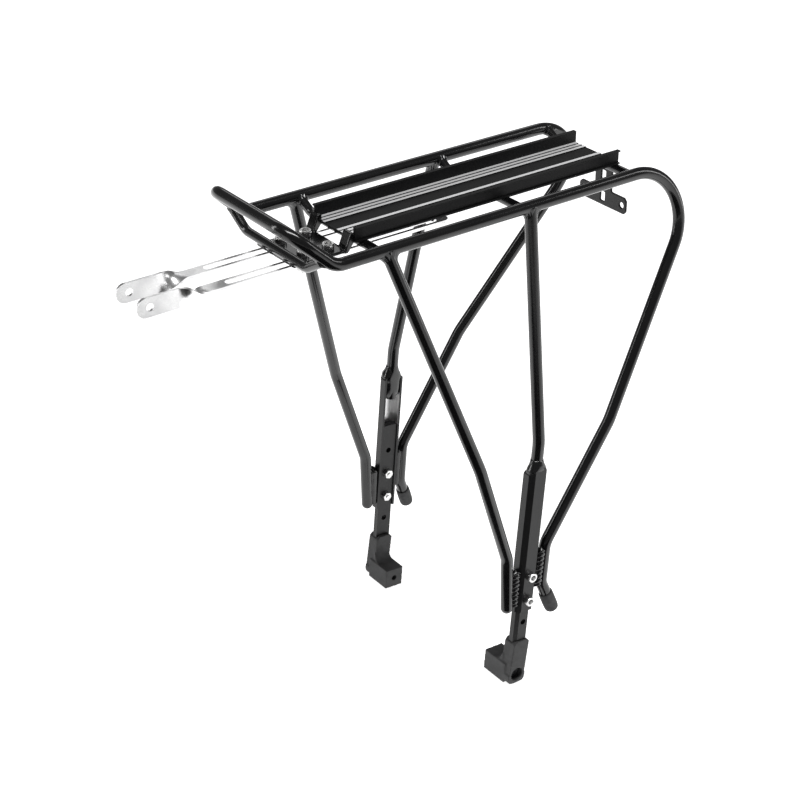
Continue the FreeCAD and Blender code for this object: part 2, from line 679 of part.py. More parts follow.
bolts = []
washers = []
clamp_nuts = []
WASHER_TOP = STAY_TOP + " - stay_thick - slide_gap"
for number, (x, y) in enumerate(clamp_bolt_places):
    shank_length = "clamp_thick + stay_thick + 2 * slide_gap + washer_thick + clamp_nut_high + 1.5"
    shank = cylinder(
        "clamp_shank_%d" % number,
        "clamp_bolt_od / 2",
        shank_length,
        X=x,
        Y=y,
        Z="%s + clamp_thick - (%s)" % (CLAMP_BASE, shank_length),
    )
    head = cylinder(
        "clamp_head_%d" % number, "clamp_head_od / 2", "clamp_head_high", X=x, Y=y, Z=CLAMP_BASE + " + clamp_thick"
    )
    socket = bind(
        doc.addObject("Part::Prism", "clamp_socket_%d" % number),
        Circumradius="clamp_head_od / 4 / 0.8660254",
        Height="clamp_head_high",
        X=x,
        Y=y,
        Z=CLAMP_BASE + " + clamp_thick + clamp_head_high / 2",
    )
    bolts.append(cut("clamp_bolt_%d" % number, fuse("clamp_bolt_solid_%d" % number, shank, head), socket))
    bore = cylinder("clamp_bore_%d" % number, "clamp_bolt_od / 2 + 0.05", "40", X=x, Y=y, Z=CLAMP_BASE + " - 30")
    disc = cylinder(
        "washer_disc_%d" % number, "washer_od / 2", "washer_thick", X=x, Y=y, Z=WASHER_TOP + " - washer_thick"
    )
    washers.append(cut("clamp_washer_%d" % number, disc, bore))
    hexagon = bind(
        doc.addObject("Part::Prism", "clamp_nut_hex_%d" % number),
        Circumradius="clamp_nut_flats / 2 / 0.8660254",
        Height="clamp_nut_high",
        X=x,
        Y=y,
        Z=WASHER_TOP + " - washer_thick - clamp_nut_high",
    )
    clamp_nuts.append(cut("clamp_nut_%d" % number, hexagon, bore))
node(group("clamp_bolt_set", *bolts), "clamp_bolts")
node(group("clamp_washer_set", *washers), "clamp_washers")
node(group("clamp_nut_set", *clamp_nuts), "clamp_nuts")

# Front stays: a slotted flat strip, a quarter twist, and an upright tip plate with an eye.
STAY_BASE = STAY_TOP + " - stay_thick"
STAY_Y = "stay_half_gap"
strip = box(
    "stay_strip", "stay_flat_end - stay_rear - stay_width / 2", "stay_width", "stay_thick",
    X="stay_rear + stay_width / 2", Y="stay_half_gap - stay_width / 2", Z=STAY_BASE,
)
strip_end = cylinder("stay_end", "stay_width / 2", "stay_thick", X="stay_rear + stay_width / 2", Y=STAY_Y, Z=STAY_BASE)
slot_parts = [
    box(
        "stay_slot_run", "slot_front - slot_rear - slot_width", "slot_width", "10",
        X="slot_rear + slot_width / 2", Y="stay_half_gap - slot_width / 2", Z=STAY_BASE + " - 3",
    )
]
for end_name, end_x in (("rear", "slot_rear + slot_width / 2"), ("front", "slot_front - slot_width / 2")):
    slot_parts.append(
        cylinder("stay_slot_" + end_name, "slot_width / 2", "10", X=end_x, Y=STAY_Y, Z=STAY_BASE + " - 3")
    )
stay_z = number_of(STAY_TOP) - size("stay_thick") / 2
tip_plate = box(
    "stay_tip_plate", "stay_tip - tip_height / 2 - stay_tip_start", "stay_thick", "tip_height",
    X="stay_tip_start", Y="stay_half_gap - stay_thick / 2", Z=STAY_TOP + " - stay_thick / 2 - tip_height / 2",
)
tip_round = cylinder_along_y(
    "stay_tip_round", "tip_height / 2", "stay_thick",
    X="stay_tip - tip_height / 2", Y="stay_half_gap - stay_thick / 2", Z=STAY_TOP + " - stay_thick / 2",
)
stay_eye = cylinder_along_y(
    "stay_eye", "stay_eye_od / 2", "20", X="stay_eye_x", Y="stay_half_gap - 10", Z=STAY_TOP + " - stay_thick / 2"
)

TWIST_STEPS = 8
twist_sections = []
for step in range(TWIST_STEPS + 1):
    share = step / TWIST_STEPS
    wide = size("stay_width") + share * (size("tip_height") - size("stay_width"))
    thick = size("stay_thick")
    corners = [(-wide / 2, -thick / 2), (wide / 2, -thick / 2), (wide / 2, thick / 2), (-wide / 2, thick / 2)]
    turn = math.radians(90) * (1 - math.cos(math.pi * share)) / 2
    x = size("stay_flat_end") + share * (size("stay_tip_start") - size("stay_flat_end"))
    ring = []
    for side, up in corners + corners[:1]:
        y = size("stay_half_gap") + side * math.cos(turn) - up * math.sin(turn)
        z = stay_z + side * math.sin(turn) + up * math.cos(turn)
        ring.append(Vector(x, y, z))
    twist_sections.append(Part.makePolygon(ring))
stay_twist = doc.addObject("Part::Feature", "stay_twist")
stay_twist.Shape = Part.makeLoft(twist_sections, True, False)
stay_solid = fuse("stay_solid", strip, strip_end, stay_twist, tip_plate, tip_round)
pair(cut("stay_cut", stay_solid, *slot_parts, stay_eye), "front_stay")

# ---------------------------------------------------------------- rubber caps on the hooks
run = hook_end - hook_bend
cap_turn = FreeCAD.Rotation(Vector(0, 0, 1), run)
cap_outside = cylinder("cap_outside", "cap_od / 2", "cap_length + 2")
cap_inside = cylinder("cap_inside", "tube_od / 2", "cap_length")
for item in (cap_outside, cap_inside):
    base = hook_end - run.normalize() * size("cap_length")
    item.Placement = FreeCAD.Placement(base, cap_turn)
pair(cut("cap_hollow", cap_outside, cap_inside), "hook_cap")

# ---------------------------------------------------------------- rear light bracket
LIGHT_FOOT_TOP = "rail_height - cross_drop - cross_od / 2"
light_half_outline = [
    ("light_stem / 2", LIGHT_FOOT_TOP),
    ("light_stem / 2", "rail_height - light_bottom + light_wing_high"),
    ("light_wing_half - 3", "rail_height - light_bottom + light_wing_high"),
    ("light_wing_half", "rail_height - light_bottom + light_wing_high - 3"),
    ("light_wing_half", "rail_height - light_bottom + 3"),
    ("light_wing_half - 3", "rail_height - light_bottom"),
]
light_outline = light_half_outline + [("-(%s)" % y, z) for y, z in reversed(light_half_outline)]
light_plate = outline_pad("light_plate", "YZ_Plane", light_outline, "light_thick", offset="-light_back")
light_foot = box(
    "light_foot_plate", "light_foot", "light_stem", "light_thick",
    X="-light_back", Y="-light_stem / 2", Z=LIGHT_FOOT_TOP + " - light_thick",
)
light_holes = []
for number, y in enumerate(("light_hole_gap / 2", "-light_hole_gap / 2")):
    hole = cylinder("light_hole_%d" % number, "light_hole / 2", "10")
    hole.Placement = FreeCAD.Placement(Vector(), FreeCAD.Rotation(Vector(0, 1, 0), 90))
    Z = "rail_height - light_bottom + light_wing_high / 2"
    light_holes.append(bind(hole, X="-light_back - 4", Y=y, Z=Z))
for name, drop in (("upper", "light_slot_upper"), ("lower", "light_slot_lower")):
    light_holes.append(
        box(
            "light_slot_" + name, "10", "light_hole", "light_slot_high",
            X="-light_back - 4", Y="-light_hole / 2", Z="rail_height - %s - light_slot_high / 2" % drop,
        )
    )
light = cut("light_drilled", fuse("light_solid", light_plate, light_foot), *light_holes)
node(light, "rear_light_bracket")

# ---------------------------------------------------------------- check and write
doc.recompute()
for item in doc.Objects:
    if "Invalid" in item.State or "Error" in item.State:
        raise RuntimeError("%s did not recompute: %s" % (item.Label, item.State))
os.makedirs("parts", exist_ok=True)
for item in SUB_PARTS:
    shape = item.Shape
    if shape.isNull() or not shape.isValid():
        raise RuntimeError("%s has no valid shape" % item.Label)
    print("%-22s %3d solids %10.1f mm3" % (item.Label, len(shape.Solids), shape.Volume))
for item in SUB_PARTS:
    item.Shape.exportStep("parts/%s.step" % item.Label)
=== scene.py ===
"""Looks of a bicycle's rear rack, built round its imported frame.

Metres throughout. +X points forward, +Y to the rider's left, +Z up, and the origin is midway between the two
dropout bolt holes. What is drawn for the left side is mirrored for the right.
"""
import json
import math
import random

import bmesh
import bpy
from mathutils import Matrix, Vector


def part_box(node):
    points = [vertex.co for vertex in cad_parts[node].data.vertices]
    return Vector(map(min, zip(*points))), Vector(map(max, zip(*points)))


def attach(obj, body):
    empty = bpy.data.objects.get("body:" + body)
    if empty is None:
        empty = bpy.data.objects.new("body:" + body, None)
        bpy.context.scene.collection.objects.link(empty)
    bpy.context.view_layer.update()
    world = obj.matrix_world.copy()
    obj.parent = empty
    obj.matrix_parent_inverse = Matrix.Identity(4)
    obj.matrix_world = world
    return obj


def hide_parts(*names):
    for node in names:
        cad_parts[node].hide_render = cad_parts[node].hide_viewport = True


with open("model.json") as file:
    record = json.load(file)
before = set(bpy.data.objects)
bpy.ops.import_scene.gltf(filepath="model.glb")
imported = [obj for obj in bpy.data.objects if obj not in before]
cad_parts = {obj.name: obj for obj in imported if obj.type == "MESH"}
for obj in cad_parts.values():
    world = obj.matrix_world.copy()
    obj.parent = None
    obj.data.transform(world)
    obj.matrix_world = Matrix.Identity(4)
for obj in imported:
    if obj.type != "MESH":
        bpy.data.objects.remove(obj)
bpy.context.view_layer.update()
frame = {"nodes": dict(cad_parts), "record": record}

MM = 0.001

# ---------------------------------------------------------------- driving sizes, read from the frame
side_low, side_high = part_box("left_side_tube")
TUBE_RADIUS = (side_high.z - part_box("front_hoop")[0].z) / 2
RAIL_Z = side_high.z - TUBE_RADIUS
RAIL_Y = side_low.y + TUBE_RADIUS
channel_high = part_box("left_leg_channel")[1]
foot_low, foot_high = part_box("left_foot")
WEB_INSIDE = channel_high.y - 2 * MM

# each leg leans about a line across the rack; heights along it are measured from that line
LEG_TILT = math.radians(4.5)
LEG_AXIS_X = -2 * MM
BAR_TOP = 157 * MM
PLUG_FOOT = 187 * MM


# ---------------------------------------------------------------- shader maths
class Value:
    """A number on the surface: Python operators add Math nodes."""

    def __init__(self, finish, socket):
        self.finish = finish
        self.socket = socket

    def _maths(self, operation, *others):
        return self.finish.node("ShaderNodeMath", {"operation": operation}, dict(enumerate([self, *others])))

    def __add__(self, other):
        return self._maths("ADD", other)

    def __radd__(self, other):
        return self + other

    def __sub__(self, other):
        return self._maths("SUBTRACT", other)

    def __rsub__(self, other):
        return (self * -1) + other

    def __mul__(self, other):
        return self._maths("MULTIPLY", other)

    def __rmul__(self, other):
        return self * other

    def size(self):
        return self._maths("ABSOLUTE")

    def above(self, edge, soft):
        """0 below the edge and 1 above it, with a soft step."""
        return self.ramp(edge - soft, edge + soft)

    def below(self, edge, soft):
        """1 below the edge and 0 above it, with the same soft step."""
        return 1 - self.above(edge, soft)

    def ramp(self, start, end, low=0.0, high=1.0):
        """Carry start to end over to low to high, held at both ends."""
        settings = {"clamp": True, "interpolation_type": "SMOOTHSTEP"}
        places = {"Value": self, "From Min": start, "From Max": end, "To Min": low, "To Max": high}
        return self.finish.node("ShaderNodeMapRange", settings, places, "Result")


class Finish:
    """A node material: its shader, and the nodes that feed it."""

    def __init__(self, name, **constants):
        self.material = bpy.data.materials.new(name)
        self.material.use_nodes = True
        self.tree = self.material.node_tree
        self.shader = self.tree.nodes["Principled BSDF"]
        self.set(**constants)

    def set(self, **sockets):
        """Set or link the shader's sockets, named with _ for each space."""
        for name, value in sockets.items():
            self._feed(self.shader.inputs[name.replace("_", " ")], value)

    def _feed(self, socket, value):
        if isinstance(value, Value):
            self.tree.links.new(value.socket, socket)
        elif isinstance(value, tuple) and len(value) == 3 and len(socket.default_value) == 4:
            socket.default_value = (*value, 1)
        else:
            socket.default_value = value

    def node(self, kind, settings, inputs, output=0):
        """Any node: its settings first, then the values or links of its sockets."""
        made = self.tree.nodes.new(kind)
        for name, setting in settings.items():
            setattr(made, name, setting)
        for place, value in inputs.items():
            self._feed(made.inputs[place], value)
        return Value(self, made.outputs[output])

    def place(self):
        """The position in the rack's own frame, in metres."""
        return self.node("ShaderNodeTexCoord", {}, {}, "Object")

    def part(self, axis, vector=None):
        """One coordinate of the position, or of another vector."""
        vector = vector or self.place()
        return self.node("ShaderNodeSeparateXYZ", {}, {0: vector}, axis)

    def noise(self, scale, detail=2.0, stretch=None, roughness=0.5):
        """Noise of so many cells to the metre, from 0 to 1."""
        vector = self.place()
        if stretch:
            vector = self.node("ShaderNodeVectorMath", {"operation": "MULTIPLY"}, {0: vector, 1: stretch})
        places = {"Vector": vector, "Scale": scale, "Detail": detail, "Roughness": roughness}
        return self.node("ShaderNodeTexNoise", {}, places, 0)

    def mix(self, share, first, second):
        """Blend two colours by a share."""
        made = self.tree.nodes.new("ShaderNodeMix")
        made.data_type = "RGBA"
        colours = [socket for socket in made.inputs if socket.type == "RGBA"]
        self._feed(made.inputs["Factor"], share)
        self._feed(colours[0], first)
        self._feed(colours[1], second)
        result = [socket for socket in made.outputs if socket.type == "RGBA"][0]
        return Value(self, result)

    def bump(self, height, distance):
        """Turn a height, where 1 stands for a distance in metres, into a bumped normal."""
        places = {"Height": height, "Distance": distance, "Strength": 1.0}
        return self.node("ShaderNodeBump", {}, places, "Normal")

    def edges(self, softness):
        """1 on sharp outside edges, 0 where the surface is flat, which Pointiness gives as 0.5."""
        pointiness = self.node("ShaderNodeNewGeometry", {}, {}, "Pointiness")
        return pointiness.ramp(0.5 + softness, 0.5 + 2 * softness)


def gloss_black():
    """Gloss black powder coat: deep, with a faint orange peel."""
    finish = Finish("gloss_black_coat", Specular_IOR_Level=0.5, Coat_Roughness=0.05)
    dust = finish.noise(900, 3)
    drift = finish.noise(28, 2)
    deep, thin = (0.0025, 0.0025, 0.0028), (0.0045, 0.0045, 0.0048)
    finish.set(Base_Color=finish.mix(drift.ramp(0.3, 0.7), deep, thin))
    finish.set(Roughness=0.13 + 0.06 * drift + 0.03 * dust)
    finish.set(Coat_Weight=drift.ramp(0.25, 0.75, 0.05, 0.15))
    peel = finish.noise(520, 1)
    finish.set(Normal=finish.bump(peel + 0.1 * dust, 0.007 * MM))
    return finish.material


def bare_window(finish):
    """1 inside a leg channel between the sliding bar's top and the weld above it, 0 elsewhere."""
    half_width, mouth_depth, bevel_past = 8.1 * MM, 11 * MM, 4 * MM
    fore, up = finish.part("X") - LEG_AXIS_X, finish.part("Z")
    across = (fore * math.cos(LEG_TILT) + up * math.sin(LEG_TILT)).size()
    height = up * math.cos(LEG_TILT) - fore * math.sin(LEG_TILT)
    deep = finish.part("Y").size()
    inside = deep.above(channel_high.y - mouth_depth, MM) * deep.below(WEB_INSIDE + 0.5 * MM, 0.1 * MM)
    inside = inside * (across + deep).below(channel_high.y + bevel_past, 0.2 * MM)
    window = height.above(BAR_TOP, MM) * height.below(PLUG_FOOT + 3 * MM, MM)
    return across.below(half_width, 0.02 * MM) * inside * window


def satin_black():
    """Satin black powder coat on pressed plate, with the bare metal that shows inside each channel."""
    finish = Finish("satin_black_coat", Specular_IOR_Level=0.3)
    grain = finish.noise(1500, 3)
    drift = finish.noise(40, 2)
    worn = finish.edges(0.03)
    paint = finish.mix(drift, (0.006, 0.006, 0.0064), (0.011, 0.011, 0.0115))
    bare = bare_window(finish)
    finish.set(Base_Color=finish.mix(bare, paint, (0.78, 0.78, 0.78)))
    finish.set(Metallic=bare)
    finish.set(Roughness=0.36 + 0.1 * grain - 0.1 * worn)
    finish.set(Normal=finish.bump(grain, 0.03 * MM))
    return finish.material


def cast_grey():
    """Cast metal under a thin dark coat, with a sandy skin."""
    finish = Finish("cast_dark_grey", Specular_IOR_Level=0.42)
    sand = finish.noise(1900, 4, roughness=0.65)
    lumps = finish.noise(160, 3)
    finish.set(Base_Color=finish.mix(lumps.ramp(0.25, 0.75), (0.022, 0.022, 0.0225), (0.034, 0.034, 0.035)))
    finish.set(Roughness=0.52 + 0.18 * sand)
    finish.set(Normal=finish.bump(sand + 1.6 * lumps, 0.06 * MM))
    return finish.material


def rubber():
    """Dark grey rubber with a faint bloom."""
    finish = Finish("cap_rubber_grey", Specular_IOR_Level=0.32)
    bloom = finish.noise(220, 4)
    grain = finish.noise(2300, 2)
    finish.set(Base_Color=finish.mix(bloom.ramp(0.3, 0.75), (0.03, 0.03, 0.031), (0.055, 0.055, 0.056)))
    finish.set(Roughness=0.6 + 0.15 * bloom)
    finish.set(Normal=finish.bump(grain, 0.02 * MM))
    return finish.material


def bright_steel():
    """Drawn flat steel, brushed along its length, with soft grey patches."""
    finish = Finish("bright_drawn_steel", Metallic=1.0)
    brush = finish.noise(260, 4, stretch=(1, 22, 22))
    patch = finish.noise(60, 3)
    finish.set(Base_Color=finish.mix(patch.ramp(0.35, 0.7), (0.88, 0.88, 0.88), (0.76, 0.76, 0.765)))
    finish.set(Roughness=0.2 + 0.14 * brush + 0.05 * patch)
    finish.set(Normal=finish.bump(brush, 0.015 * MM))
    return finish.material


def plated_steel():
    """Bright zinc plate on screws, washers and nuts."""
    finish = Finish("bright_zinc_plate", Metallic=1.0)
    cloud = finish.noise(420, 4)
    fine = finish.noise(2600, 2)
    finish.set(Base_Color=finish.mix(cloud.ramp(0.3, 0.7), (0.8, 0.8, 0.79), (0.62, 0.62, 0.62)))
    finish.set(Roughness=0.2 + 0.16 * cloud)
    finish.set(Normal=finish.bump(fine + cloud, 0.012 * MM))
    return finish.material


def worn_bar():
    """Black coat on the sliding bar, rubbed along its length by the channel."""
    finish = Finish("rubbed_black_bar", Specular_IOR_Level=0.35)
    rub = finish.noise(170, 4, stretch=(9, 9, 1))
    streak = rub.ramp(0.62, 0.74)
    grain = finish.noise(1300, 3)
    finish.set(Base_Color=finish.mix(streak, (0.007, 0.007, 0.0073), (0.03, 0.03, 0.031)))
    finish.set(Roughness=0.4 + 0.1 * grain - 0.08 * streak)
    finish.set(Normal=finish.bump(grain, 0.025 * MM))
    return finish.material


def deck_coat():
    """Matt black extrusion; the upward faces of its rib tops are painted light grey and part metallic, a
    painted highlight where they catch the light, with streaks along their length.
    """
    finish = Finish("deck_black_with_painted_rib_highlight", Specular_IOR_Level=0.13)
    rib_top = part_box("deck")[0].z + 2.3 * MM
    slack, soft = 0.25 * MM, 0.05 * MM
    up = finish.part("Z")
    level = finish.part("Z", finish.node("ShaderNodeNewGeometry", {}, {}, "Normal"))
    # The upward faces at the rib tops' height: where the highlight is painted.
    painted_rib_highlight = up.above(rib_top - slack, soft) * up.below(rib_top + slack, soft) * level.above(0.9, 0.05)
    lines = finish.noise(240, 4, stretch=(1, 30, 1))
    grain = finish.noise(1500, 3)
    black = finish.mix(grain, (0.004, 0.004, 0.0042), (0.007, 0.007, 0.0075))
    # Light grey painted on the rib tops as a highlight, streaked along the ribs; the Metallic share below adds
    # some real reflection.
    metal = finish.mix(lines, (0.58, 0.58, 0.585), (0.84, 0.84, 0.845))
    finish.set(Base_Color=finish.mix(painted_rib_highlight, black, metal))
    finish.set(Metallic=0.3 * painted_rib_highlight)
    finish.set(Roughness=(0.42 + 0.1 * grain) * (1 - painted_rib_highlight) + painted_rib_highlight * (0.34 + 0.12 * lines))
    finish.set(Normal=finish.bump(grain * (1 - painted_rib_highlight) + lines * painted_rib_highlight, 0.02 * MM))
    return finish.material


FINISHES = {
    "frame_paint": gloss_black(),
    "channel_paint": satin_black(),
    "foot_casting": cast_grey(),
    "cap_rubber": rubber(),
    "stay_steel": bright_steel(),
    "screw_steel": plated_steel(),
    "bar_paint": worn_bar(),
    "deck_anodised": deck_coat(),
}
FINISHES["weld_paint"] = FINISHES["frame_paint"]
FINISHES["clamp_paint"] = FINISHES["frame_paint"]
FINISHES["bracket_paint"] = FINISHES["channel_paint"]
FINISHES["bolt_steel"] = FINISHES["screw_steel"]
FINISHES["washer_steel"] = FINISHES["screw_steel"]

for entry in frame["record"]["subparts"]:
    node = frame["nodes"][entry["node"]]
    node.data.materials.clear()
    node.data.materials.append(FINISHES[entry["material_slot"]])


# ---------------------------------------------------------------- meshes
LEAN = Matrix.Translation((LEG_AXIS_X, 0, 0)) @ Matrix.Rotation(-LEG_TILT, 4, "Y")
ROUND = 40


def skin(name, rings, endless=False):
    """Join rings of equal count; the last ring joins the first, or each end is filled by a fan."""
    points = [point for ring in rings for point in ring]
    count = len(rings[0])
    faces = []
    for low in range(len(rings) if endless else len(rings) - 1):
        high = (low + 1) % len(rings)
        for here in range(count):
            there = (here + 1) % count
            faces.append((low * count + here, low * count + there, high * count + there, high * count + here))
    if not endless:
        for ring_number, turned in ((0, True), (len(rings) - 1, False)):
            hub = len(points)
            points.append(sum(rings[ring_number], Vector()) / count)
            for here in range(count):
                edge = [ring_number * count + here, ring_number * count + (here + 1) % count]
                faces.append((hub, *(reversed(edge) if turned else edge)))
    mesh = bpy.data.meshes.new(name)
    mesh.from_pydata(points, [], faces)
    build = bmesh.new()
    build.from_mesh(mesh)
    bmesh.ops.recalc_face_normals(build, faces=build.faces)
    build.to_mesh(mesh)
    build.free()
    return mesh


def joined(name, meshes):
    """One mesh of several."""
    build = bmesh.new()
    for mesh in meshes:
        build.from_mesh(mesh)
    whole = bpy.data.meshes.new(name)
    build.to_mesh(whole)
    build.free()
    return whole


def mirrored(mesh):
    """The right-hand copy of a left-hand mesh."""
    other = mesh.copy()
    other.transform(Matrix.Scale(-1, 4, (0, 1, 0)))
    other.flip_normals()
    return other


def piece(name, mesh, slot, body, *nodes, sharp=40):
    """Show a mesh as a piece of a body, in its slot's finish, in place of CAD nodes."""
    mesh.materials.clear()
    mesh.materials.append(FINISHES[slot])
    mesh.shade_smooth()
    mesh.set_sharp_from_angle(angle=math.radians(sharp))
    shown = bpy.data.objects.new(name, mesh)
    bpy.context.collection.objects.link(shown)
    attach(shown, body)
    if nodes:
        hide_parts(*nodes)


def both_sides(stem, mesh, slot, body, node="", **options):
    """Show a left-hand mesh and its mirror copy."""
    for side, turned in (("left", mesh), ("right", mirrored(mesh))):
        nodes = ["%s_%s" % (side, node)] if node else []
        rides = body if body == "frame" else "%s_%s" % (side, body)
        piece("%s_%s" % (side, stem), turned, slot, rides, *nodes, **options)


def square_to(axis):
    """Two directions square to an axis and to each other."""
    axis = axis.normalized()
    first = axis.orthogonal().normalized()
    return first, axis.cross(first)


def turning(profile, base, axis, sides=ROUND):
    """Rings of (radius, height) pairs about an axis, in metres."""
    first, second = square_to(axis)
    up = axis.normalized()
    rings = []
    for radius, height in profile:
        ring = []
        for step in range(sides):
            turn = math.tau * step / sides
            reach = radius(turn) if callable(radius) else radius
            ring.append(base + up * height + (first * math.cos(turn) + second * math.sin(turn)) * reach)
        rings.append(ring)
    return rings


def hexagon(flats):
    """A radius that follows a hexagon of this size across its flats."""

    def radius(turn):
        off = (turn + math.pi / 6) % (math.pi / 3) - math.pi / 6
        return flats / 2 / math.cos(off)

    return radius


# ---------------------------------------------------------------- screws and nuts
def cap_screw(name, base, axis, head, high, shank, length):
    """A socket head screw: rounded rim, chamfered hexagon socket and plain shank."""
    radius = head / 2
    key = hexagon(0.52 * head)
    profile = [
        (lambda turn: 0.5 * key(turn), 0.42 * high),
        (key, 0.46 * high),
        (key, 0.93 * high),
        (0.36 * head, high),
        (0.84 * radius, high),
        (0.94 * radius, 0.97 * high),
        (0.99 * radius, 0.89 * high),
        (radius, 0.78 * high),
        (radius, 0.1 * high),
        (0.96 * radius, 0),
        (shank / 2, 0),
        (shank / 2, -length),
    ]
    return skin(name, turning(profile, base, axis))


def hexagon_nut(name, base, axis, flats, high, bore, barrel):
    """A chamfered nut that stands on its base; a barrel of its own goes on behind it."""
    full = hexagon(flats)

    def eased(turn):
        return min(full(turn), 0.53 * flats)

    profile = [
        (bore / 2, -barrel),
        (bore / 2, 0),
        (eased, 0),
        (full, 0.12 * high),
        (full, 0.84 * high),
        (eased, 0.96 * high),
        (0.46 * flats, high),
        (1.1 * bore / 2, high),
        (bore / 2, 1.02 * high),
        (0.98 * bore / 2, 1.16 * high),
        (0.8 * bore / 2, 1.24 * high),
    ]
    return skin(name, turning(profile, base, axis, 48))


SCREW_HEIGHTS = (80 * MM, 105 * MM)
outboard = Vector((0, 1, 0))
screws = []
nuts = []
NUT_HEIGHT = 4 * MM
NUT_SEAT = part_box("left_leg_nuts")[0].y + NUT_HEIGHT
for height in SCREW_HEIGHTS:
    seat = Vector((0, channel_high.y, height))
    screws.append(
        cap_screw("leg_screw", seat, outboard, head=9 * MM, high=5 * MM, shank=5 * MM, length=2 * MM)
    )
    back = Vector((0, NUT_SEAT, height))
    nuts.append(
        hexagon_nut("leg_nut", back, -outboard, flats=8 * MM, high=NUT_HEIGHT, bore=5 * MM, barrel=7 * MM)
    )
for stem, parts, body in (("leg_screws", screws, "frame"), ("leg_nuts", nuts, "foot_leg")):
    whole = joined(stem, parts)
    whole.transform(LEAN)
    both_sides(stem + "_shaped", whole, "screw_steel", body, stem)

clamp_low, clamp_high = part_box("clamp_bolts")
BOLT_HEAD = 10 * MM
BOLT_HEAD_HEIGHT = 5 * MM
CLAMP_TOP = clamp_high.z - BOLT_HEAD_HEIGHT
clamp_screws = []
for x in (clamp_low.x + BOLT_HEAD / 2, clamp_high.x - BOLT_HEAD / 2):
    for y in (clamp_low.y + BOLT_HEAD / 2, clamp_high.y - BOLT_HEAD / 2):
        seat = Vector((x, y, CLAMP_TOP))
        length = CLAMP_TOP - clamp_low.z
        clamp_screws.append(
            cap_screw("clamp_bolt", seat, Vector((0, 0, 1)), BOLT_HEAD, BOLT_HEAD_HEIGHT, 6 * MM, length)
        )
piece("clamp_bolts_shaped", joined("clamp_bolts_shaped", clamp_screws), "bolt_steel", "frame", "clamp_bolts")


# ---------------------------------------------------------------- rubber caps
HOOK_BEND = Vector((-28.5, 107, 88)) * MM
HOOK_END = Vector((-39.5, 110.6, 58)) * MM
CAP_GRIP = 18 * MM


def hook_cap():
    """A moulded cap: a thin lip, a slight belly and a domed end."""
    along = (HOOK_END - HOOK_BEND).normalized()
    lip = [(5.3, 4), (5.4, -0.6), (5.9, -0.9), (6.35, -0.5), (6.5, 0.6)]
    belly = [(6.62, 5), (6.65, 10), (6.55, 15)]
    dome = [(6.4, 17.4), (6.05, 18.9), (5.3, 19.8), (4.1, 20.25), (2.2, 20.4)]
    profile = [(radius * MM, height * MM) for radius, height in lip + belly + dome]
    rings = turning(profile, HOOK_END - along * CAP_GRIP, along)
    return skin("hook_cap", rings)


both_sides("hook_cap_shaped", hook_cap(), "cap_rubber", "frame", "hook_cap", sharp=50)


# ---------------------------------------------------------------- welds
def saddle_weld(
    name, joint, leg_way, leg_radius, down, out, seed, rail_point=None, rail_way=Vector((1, 0, 0))
):
    """A flared fillet where a leg leaves a rail: down the leg on one side, out along the rail on the other.

    Each turn round the leg gives a curve from the leg's skin to the rail's, over a hinge near their corner.
    """
    chance = random.Random(seed)
    rail_point = rail_point or joint
    rail_way = rail_way.normalized()
    leg_way = leg_way.normalized()
    first, second = square_to(leg_way)

    def off_rail(point):
        away = point - rail_point
        return away - rail_way * away.dot(rail_way)

    def onto_rail(point, proud):
        away = off_rail(point)
        return point - away + away.normalized() * (TUBE_RADIUS + proud)

    sides, levels = 72, 10
    sunk, core = 0.12 * MM, 1.2 * MM
    calm = leg_radius / TUBE_RADIUS
    waves = [
        (chance.randint(9, 23), chance.uniform(0, math.tau), chance.uniform(0.05, 0.1)) for _ in range(4)
    ]
    rows = [[] for _ in range(levels + 2)]
    for step in range(sides):
        turn = math.tau * step / sides
        outward = first * math.cos(turn) + second * math.sin(turn)
        start = joint + outward * leg_radius
        away, pace = off_rail(start), leg_way - rail_way * leg_way.dot(rail_way)
        square, cross, rest = pace.dot(pace), away.dot(pace), away.dot(away) - TUBE_RADIUS**2
        reach = (-cross + math.sqrt(max(cross**2 - square * rest, 0))) / square
        corner = start + leg_way * reach
        normal = off_rail(corner).normalized()
        lean = outward - normal * outward.dot(normal)
        open_share = min(lean.length, 1)
        ripple = sum(size * math.sin(count * turn + shift) for count, shift, size in waves) * calm * MM
        low = corner + leg_way * (down * (0.35 + 0.65 * open_share) + 2 * ripple) - outward * sunk
        high = onto_rail(corner + lean * out + normal * 2 * ripple, -sunk)
        hinge = corner + (normal + outward).normalized() * (0.35 + 0.5 * (1 - open_share)) * MM
        rows[0].append(corner - (normal + outward) * core)
        for level in range(levels + 1):
            share = level / levels
            spot = low * (1 - share) ** 2 + hinge * 2 * share * (1 - share) + high * share**2
            lift = ripple * math.sin(math.pi * share) * 2.2
            rows[level + 1].append(spot + (normal + outward).normalized() * lift)
    return skin(name, rows, endless=True)


SPLAY = Vector((44.5, 107, 230)) * MM
FRONT_JOINT = Vector((111 * MM, RAIL_Y, RAIL_Z))
MIDDLE_JOINT = Vector((-35.5 * MM, RAIL_Y, RAIL_Z))
MIDDLE_LEG_Y = WEB_INSIDE - TUBE_RADIUS - 0.05 * MM
MIDDLE_SPLAY = LEAN @ Vector((0, MIDDLE_LEG_Y, 236 * MM))
for name, joint, splay, down, out, seed in (
    ("front_leg_weld", FRONT_JOINT, SPLAY, 7 * MM, 6 * MM, 3),
    ("middle_leg_weld", MIDDLE_JOINT, MIDDLE_SPLAY, 6 * MM, 5 * MM, 5),
):
    weld = saddle_weld(name, joint, splay - joint, TUBE_RADIUS, down, out, seed=seed)
    both_sides(name, weld, "weld_paint", "frame", sharp=80)

CROSS_RADIUS = 4 * MM
CROSS_KNEE_Y = 48 * MM
CROSS_DROP = 9 * MM
cross_way = Vector((0, CROSS_KNEE_Y - RAIL_Y, -CROSS_DROP))
